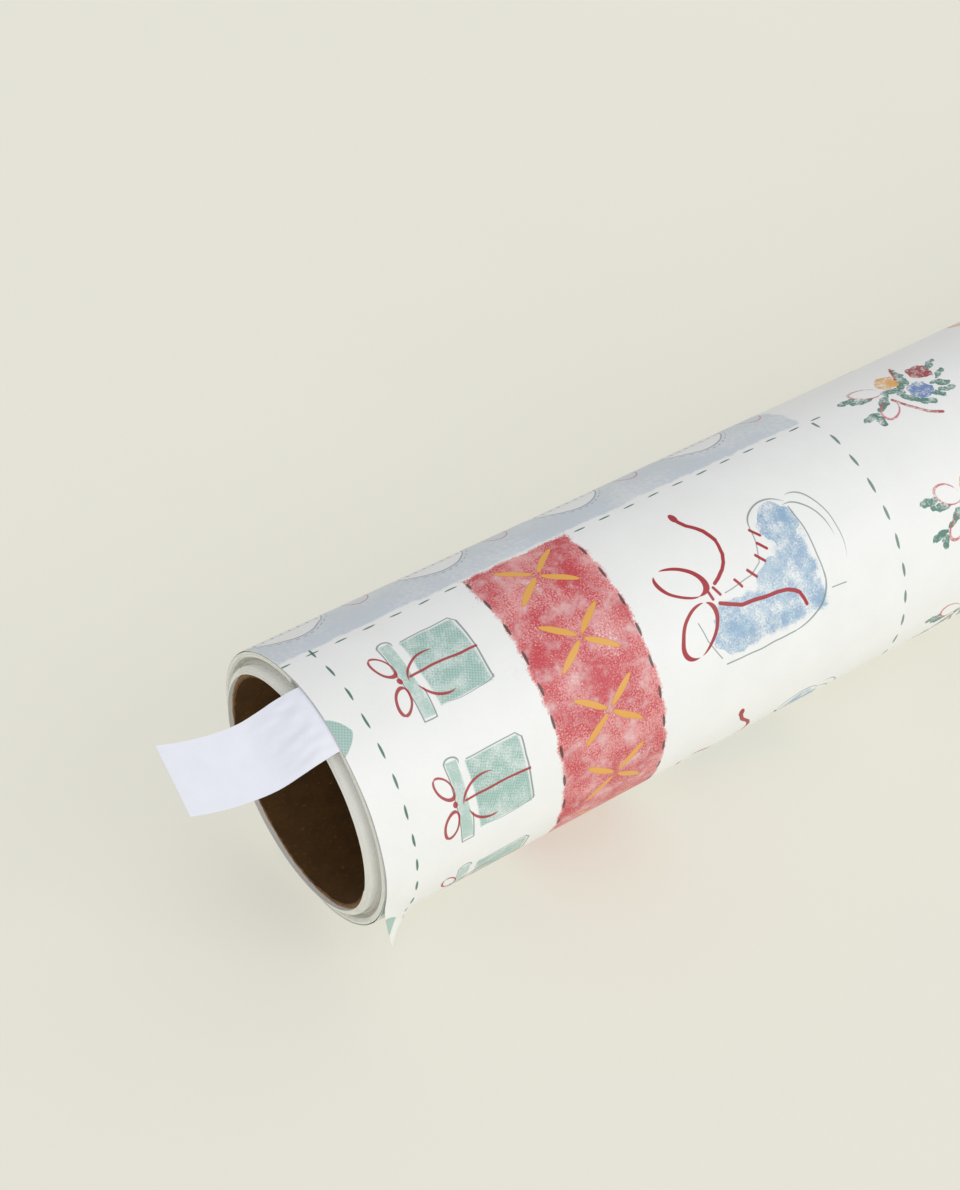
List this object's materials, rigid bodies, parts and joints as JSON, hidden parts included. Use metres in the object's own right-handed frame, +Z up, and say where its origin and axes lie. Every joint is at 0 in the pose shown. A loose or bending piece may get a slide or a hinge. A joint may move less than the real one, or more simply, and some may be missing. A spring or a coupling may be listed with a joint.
{
  "type": "wrapping paper roll",
  "caption": "Roll of printed gift wrap wound on a spiral board core, lying on its side, with a loose outer turn, a lifting free edge and a blank paper tab at one end.",
  "frame": {"origin": "centre of the core's bore, half way along its length", "axes": "+X along the bore towards the plain end, +Z up, -Y the side on which the sheet's free edge lies; the roll lies on its side as it does on a table"},
  "size_m": [0.7251, 0.0468, 0.0492],
  "materials": {
    "core_board": "matte",
    "tape": "matte",
    "printed_paper": "satin",
    "tab_paper": "matte"
  },
  "bodies": {
    "loose_sheet": {"loose_turn": "printed_paper"},
    "wound_roll": {"middle_windings": "printed_paper", "outer_windings": "printed_paper"},
    "core_pack": {"core_inner_ply": "core_board", "core_middle_ply": "core_board", "core_outer_ply": "core_board", "start_tape": "tape", "inner_windings": "printed_paper"},
    "sheet_edge": {"tail_flap": "printed_paper"},
    "tab_root": {"tab_tucked": "tab_paper"},
    "tab_end": {"tab_free": "tab_paper"}
  },
  "joints": [
    {"name": "roll_turn", "type": "hinge", "parent": "loose_sheet", "child": "wound_roll", "pos_m": [0, 0, 0], "axis": [1, 0, 0], "continuous": true},
    {"name": "core_slide", "type": "slide", "parent": "wound_roll", "child": "core_pack", "axis": [1, 0, 0], "range_m": [-0.004, 0.012]},
    {"name": "edge_lift", "type": "hinge", "parent": "loose_sheet", "child": "sheet_edge", "pos_m": [0, -0.02266, -0.00599], "axis": [-1, 0, 0], "range_deg": [0, 100], "stiffness_Nm_per_rad": 0.002},
    {"name": "tab_pull", "type": "slide", "parent": "loose_sheet", "child": "tab_root", "axis": [-1, 0, 0], "range_m": [0, 0.018]},
    {"name": "tab_bend", "type": "hinge", "parent": "tab_root", "child": "tab_end", "pos_m": [-0.35947, -0.00623, 0.01917], "axis": [0, 0.9511, 0.309], "range_deg": [-50, 70], "stiffness_Nm_per_rad": 0.00002}
  ]
}
